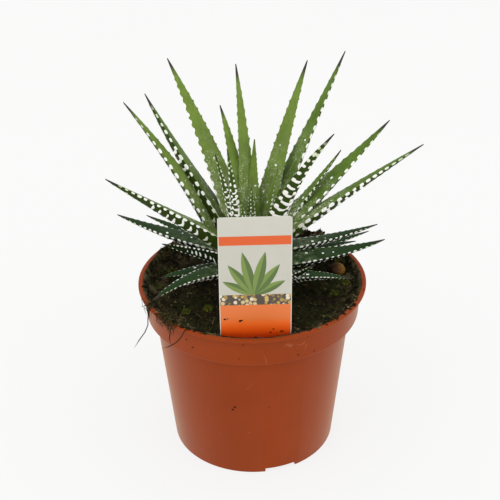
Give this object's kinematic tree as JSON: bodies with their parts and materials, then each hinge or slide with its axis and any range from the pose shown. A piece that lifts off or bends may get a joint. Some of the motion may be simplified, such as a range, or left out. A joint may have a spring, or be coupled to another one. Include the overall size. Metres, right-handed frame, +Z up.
{
  "type": "potted haworthia",
  "caption": "Rosette of pointed green succulent leaves with raised white bands, in soil in a round terracotta-coloured plastic nursery pot, with an upright plant label at the front.",
  "frame": {"origin": "middle of the pot's flat underside", "axes": "+Z up, -Y towards the side where the plant label stands, +X to that side's right"},
  "size_m": [0.1622, 0.1329, 0.2063],
  "materials": {
    "pot": "satin moulded plastic",
    "soil": "loose dark peat with fibres",
    "label": "thin printed plastic, satin",
    "bark": "rough brown bark",
    "stem": "matte, fleshy",
    "leaf_upright": "satin yellow-green skin with raised white bands under it",
    "leaf_spreading": "satin mid-green skin with raised white bands under it",
    "leaf_low": "satin dark-green skin with raised white bands under it"
  },
  "bodies": {
    "root": {"pot": "pot", "soil": "soil", "label": "label", "bark_chip": "bark", "stem": "stem", "leaf_01": "leaf_upright", "leaf_02": "leaf_upright", "leaf_03": "leaf_upright", "leaf_04": "leaf_upright", "leaf_05": "leaf_upright", "leaf_06": "leaf_upright", "leaf_07": "leaf_upright", "leaf_08": "leaf_upright", "leaf_09": "leaf_upright", "leaf_10": "leaf_upright", "leaf_11": "leaf_upright", "leaf_12": "leaf_upright", "leaf_13": "leaf_spreading", "leaf_14": "leaf_spreading", "leaf_15": "leaf_upright", "leaf_16": "leaf_spreading", "leaf_17": "leaf_spreading", "leaf_18": "leaf_spreading", "leaf_19": "leaf_spreading", "leaf_20": "leaf_spreading", "leaf_21": "leaf_spreading", "leaf_22": "leaf_spreading", "leaf_23": "leaf_spreading", "leaf_24": "leaf_spreading", "leaf_25": "leaf_low", "leaf_26": "leaf_low", "leaf_27": "leaf_low", "leaf_28": "leaf_low", "leaf_29": "leaf_low", "leaf_30": "leaf_low", "leaf_31": "leaf_low", "leaf_32": "leaf_low", "leaf_33": "leaf_low", "leaf_34": "leaf_low", "leaf_35": "leaf_low", "leaf_36": "leaf_low", "leaf_37": "leaf_low", "leaf_38": "leaf_low", "leaf_39": "leaf_low", "leaf_40": "leaf_low", "leaf_41": "leaf_low"}
  },
  "joints": []
}
